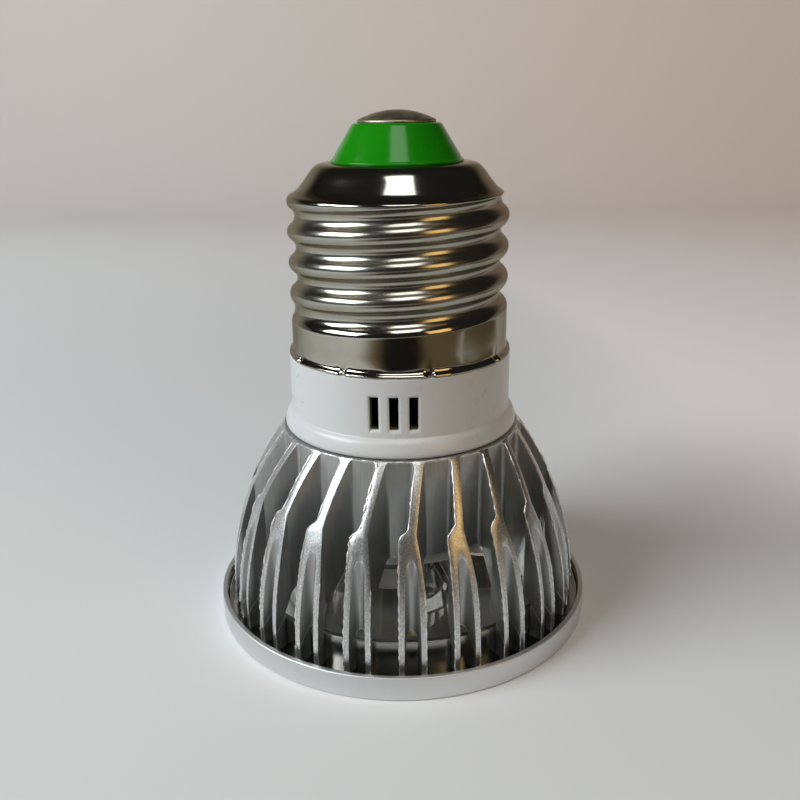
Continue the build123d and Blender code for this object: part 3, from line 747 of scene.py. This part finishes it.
# %% [markdown]
# The front ring is turned from aluminium: an outer wall with a soft lip, a floor for the fin feet, a sleeve inside
# the fins and a narrow ledge that holds the lens. It is spun in more steps than the others, because its outline is
# the widest on the bulb.

# %% Front ring
ring_section = [
    (18.6, 0, 0.15),
    (24.0, 0, 0.32),
    (24.0, 3.0, 0.16),
    (23.35, 3.0, 0.14),
    (23.35, 1.6, 0.25),
    (20.5, 1.6, 0),
    (20.5, 5.2, 0.12),
    (19.8, 5.2, 0.12),
    (19.8, 1.0, 0),
    (18.6, 1.0, 0.1),
]
stand_for(turned_body("front_ring", ring_section, steps=256), "bezel_ring", "ring_aluminium")

# %% [markdown]
# The collar and the heat sink are too involved to spin. Their model meshes have the true form with knife-sharp
# edges, so each is copied, its triangles are merged into larger faces, and a narrow bevel rounds the edges as
# moulding and turning leave them. The model's own objects aren't touched.


# %% Copies with soft edges
def copied(node, name, flat):
    """A merged copy of a node's mesh; faces that differ by less than flat degrees become one."""
    select_only(nodes[node])
    bpy.ops.object.duplicate()
    piece = bpy.context.object
    piece.name = name
    piece.parent = None
    for key in [k for k in piece.keys() if k.startswith("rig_")]:
        del piece[key]
    bpy.ops.object.mode_set(mode="EDIT")
    bpy.ops.mesh.select_all(action="SELECT")
    bpy.ops.mesh.remove_doubles(threshold=0.001 * mm)
    bpy.ops.mesh.customdata_custom_splitnormals_clear()
    bpy.ops.mesh.dissolve_limited(angle_limit=math.radians(flat))
    bpy.ops.object.mode_set(mode="OBJECT")
    return piece


def soften(piece, width):
    bevel = piece.modifiers.new("edges", "BEVEL")
    bevel.width = width * mm
    bevel.segments = 2
    bevel.limit_method = "ANGLE"
    bevel.angle_limit = math.radians(32)
    bevel.use_clamp_overlap = True
    apply_modifiers(piece)
    bpy.ops.object.shade_smooth_by_angle(angle=math.radians(35))


collar = copied("collar", "driver_collar", 0.05)
soften(collar, 0.12)
print("collar faces:", len(collar.data.polygons))

# %% [markdown]
# The vent slots have rounded rims, as a mould leaves them. A wide bevel would need clean faces round the slots,
# which a model's triangles aren't. Instead the wall is cut by planes beside, over and under the slots, and the
# points near a slot are then let down towards it. The slots behind lie opposite, so the same planes serve both.

# %% Cuts beside the slots
wall_r, wall_foot, inner_limit = 13.6, 26.8, 13.4
slot_width, slot_height, slot_middle = 1.05, 3.8, 30.1
slot_headings = [math.radians(-93.2 + 9.6 * k) for k in (-1, 0, 1)]
slot_sides = [Vector((-math.sin(h), math.cos(h), 0)) for h in slot_headings]
rim_reach, rim_depth, rim_cuts = 0.42, 0.2, 3


def on_wall(face):
    outward = Vector((face.center.x, face.center.y, 0)).normalized()
    far_out = face.center.xy.length > inner_limit * mm
    return face.normal.dot(outward) > 0.98 and far_out and face.center.z > wall_foot * mm


def cut_wall(place, normal):
    bpy.ops.mesh.select_all(action="DESELECT")
    bpy.ops.object.mode_set(mode="OBJECT")
    for face in collar.data.polygons:
        face.select = on_wall(face)
    bpy.ops.object.mode_set(mode="EDIT")
    bpy.ops.mesh.bisect(plane_co=place * mm, plane_no=normal, threshold=0.0001 * mm)


select_only(collar)
bpy.ops.object.mode_set(mode="EDIT")
for cut in range(1, rim_cuts + 1):
    for sign in (-1, 1):
        level = slot_middle + sign * (slot_height / 2 + rim_reach * cut / rim_cuts)
        cut_wall(Vector((0, 0, level)), Vector((0, 0, 1)))
        for side in slot_sides:
            cut_wall(side * sign * (slot_width / 2 + rim_reach * cut / rim_cuts), side)
bpy.ops.object.mode_set(mode="OBJECT")
print("collar faces after the cuts:", len(collar.data.polygons))

# %% [markdown]
# Each point of the outer wall now knows its gap from the nearest slot, and goes down by the square of its share of
# the rim. At the foot, the collar's bead is drawn out and down so that it closes on the sink, as in the photograph.

# %% Slot rims and bead
bead_r, bead_limit, bead_full, bead_ends = 13.62, 28, 25.2, 26.6
bead_out, bead_down = 0.48, 0.27


def slot_gap(place):
    """Distance of a point of the wall from the outline of the nearest slot."""
    over = max(0.0, abs(place.z - slot_middle) - slot_height / 2)
    return min(math.hypot(max(0.0, abs(place.dot(side)) - slot_width / 2), over) for side in slot_sides)


rim_points = 0
for vertex in collar.data.vertices:
    place = vertex.co / mm
    gap = slot_gap(place)
    if place.xy.length > inner_limit and gap < rim_reach:
        vertex.co.xy *= 1 - rim_depth * (1 - gap / rim_reach) ** 2 / place.xy.length
        rim_points += 1
for vertex in collar.data.vertices:
    if vertex.co.xy.length > bead_r * mm and vertex.co.z < bead_limit * mm:
        low = 1 - smooth(bead_full, bead_ends, vertex.co.z / mm)
        vertex.co.xy *= 1 + bead_out * mm * low / vertex.co.xy.length
        vertex.co.z -= bead_down * mm * low
print("points in the slot rims:", rim_points)

# %% [markdown]
# The wall is a plain cylinder, but its faces round the slots are long and thin, and averaged normals can lean there.
# The true normal of a cylinder points away from the axis, so it is set on every corner of the wall.

# %% Normals of the collar's wall
collar_mesh = collar.data
normals = [corner.vector.copy() for corner in collar_mesh.corner_normals]
straightened = 0
for face in collar_mesh.polygons:
    for k in face.loop_indices:
        place = collar_mesh.vertices[collar_mesh.loops[k].vertex_index].co / mm
        outward = Vector((place.x, place.y, 0)).normalized()
        if face.normal.dot(outward) > 0.99 and abs(place.xy.length - wall_r) < 0.03:
            normals[k] = outward
            straightened += 1
collar_mesh.normals_split_custom_set(normals)
print("wall corners with a true normal:", straightened)
stand_for(collar, "collar", "collar_white")

# %% [markdown]
# The sink's copy ends a little lower than the model's, under the bead, because the photograph shows no bright band
# between them. A bisect cuts it there and closes the cut round its holes. Its bevel is narrower than the collar's,
# as a lathe leaves crisper edges than a mould.

# %% Heat sink
finned_sink = copied("heat_sink", "finned_sink", 0.4)
bpy.ops.object.mode_set(mode="EDIT")
bpy.ops.mesh.select_all(action="SELECT")
bpy.ops.mesh.bisect(
    plane_co=(0, 0, sink_top * mm),
    plane_no=(0, 0, 1),
    use_fill=True,
    clear_outer=True,
    threshold=0.0001 * mm,
)
bpy.ops.object.mode_set(mode="OBJECT")
soften(finned_sink, 0.05)
print("sink faces:", len(finned_sink.data.polygons))

# %% [markdown]
# The lathe tool leaves a ragged burr along the trailing edge of every fin, and it is this thread of glints that
# draws the fins in the photograph. Noise in the finish would stay flat, so each burr is a thin tube, wrapped from a
# grid, with another thickness at every step. A seed makes the same burrs each time.

# %% One burr
random.seed(7)
thin_share = 0.6


def burr(path, thin, thick):
    """A lumpy tube along a path of points, marked so that the finish can brighten it."""
    bpy.ops.object.select_all(action="DESELECT")
    bpy.ops.mesh.primitive_grid_add(x_subdivisions=6, y_subdivisions=len(path) - 1, size=2)
    tube = bpy.context.object
    lumps = [
        random.uniform(thin, 2 * thin) if random.random() < thin_share else random.uniform(0.6, 1) * thick
        for _ in path
    ]
    lumps[0] = lumps[-1] = 0.0
    for vertex in tube.data.vertices:
        step = round((vertex.co.y + 1) / 2 * (len(path) - 1))
        turn = math.pi * (vertex.co.x + 1)
        outward = Vector((path[step].x, path[step].y, 0)).normalized()
        along = (path[min(step + 1, len(path) - 1)] - path[max(step - 1, 0)]).normalized()
        aside = along.cross(outward)
        vertex.co = (path[step] + lumps[step] * (math.cos(turn) * outward + math.sin(turn) * aside)) * mm
    close_up(tube)
    bpy.ops.object.shade_smooth()
    mark = tube.data.attributes.new("burr", "FLOAT", "POINT")
    mark.data.foreach_set("value", [1.0] * len(mark.data))
    return tube


print("burrs are lumpy tubes")

# %% [markdown]
# A burr follows the fin's edge on the bell. Above, that edge belongs to a stem that leans to one side. Below, the
# stem forks into two prongs, and a heel joins the two. The same lean, fork and prong angles shaped the solids.

# %% Edges of a fin
stem_slope, stem_half, fork_shift, fork_r = math.tan(math.radians(15.7)), 0.4675, 0.2, 19.0
heel_r, prong_r, prong_slope = 18.7, 19.3, math.tan(math.radians(3.95))


def bell_radius(height):
    if height < bell_foot:
        return bell_arc - bell_inset
    return math.sqrt(bell_arc**2 - (height - bell_foot) ** 2) - bell_inset


def left_edge(height):
    """The fin's left edge on the bell, with the fin pointing along +X."""
    radius = bell_radius(height)
    prong_y = -radius * prong_slope
    if radius > prong_r:
        across = prong_y
    else:
        offset = fork_shift + fork_r * stem_slope - stem_half
        lean = 1 + stem_slope**2
        along = offset * stem_slope + math.sqrt(lean * radius**2 - offset**2)
        stem_y = offset - stem_slope * along / lean
        across = stem_y + (prong_y - stem_y) * smooth(heel_r, prong_r, radius)
    return Vector((math.sqrt(radius**2 - across**2), across, height))


def right_edge(height):
    """The right prong's outer edge on the bell."""
    radius = bell_radius(height)
    slope = math.hypot(1, prong_slope)
    return Vector((radius / slope, radius * prong_slope / slope, height))


print("a fin's edge runs from", [round(v, 2) for v in left_edge(bell_foot)])

# %% [markdown]
# Every fin gets a burr along its left edge and a finer one along its right prong, and one more runs round the top.
# They are joined to the sink, because a burr is no piece of its own.

# %% Burrs on the fins
fin_count, fin_heading = 22, -87.3
burr_foot, burr_top, prong_burr = 1.7, sink_top - 0.05, 10.5
fin_steps, prong_steps, top_steps = 66, 34, 240
top_burr_r, top_burr_z = 14.76, sink_top - 0.03

burrs = []
for fin in range(fin_count):
    swing = Matrix.Rotation(math.radians(fin_heading + fin * 360 / fin_count), 3, "Z")
    heights = [burr_foot + (burr_top - burr_foot) * k / fin_steps for k in range(fin_steps + 1)]
    burrs.append(burr([swing @ left_edge(height) for height in heights], 0.035, 0.19))
    heights = [burr_foot + prong_burr * k / prong_steps for k in range(prong_steps + 1)]
    burrs.append(burr([swing @ right_edge(height) for height in heights], 0.02, 0.11))
turns = [2 * math.pi * k / top_steps for k in range(top_steps + 1)]
top_path = [Vector((top_burr_r * math.cos(t), top_burr_r * math.sin(t), top_burr_z)) for t in turns]
burrs.append(burr(top_path, 0.02, 0.1))

finned_sink.data.attributes.new("burr", "FLOAT", "POINT")
select_only(finned_sink)
for tube in burrs:
    tube.select_set(True)
bpy.ops.object.join()
print("burrs joined to the sink:", len(burrs))
stand_for(finned_sink, "heat_sink", "sink_aluminium")
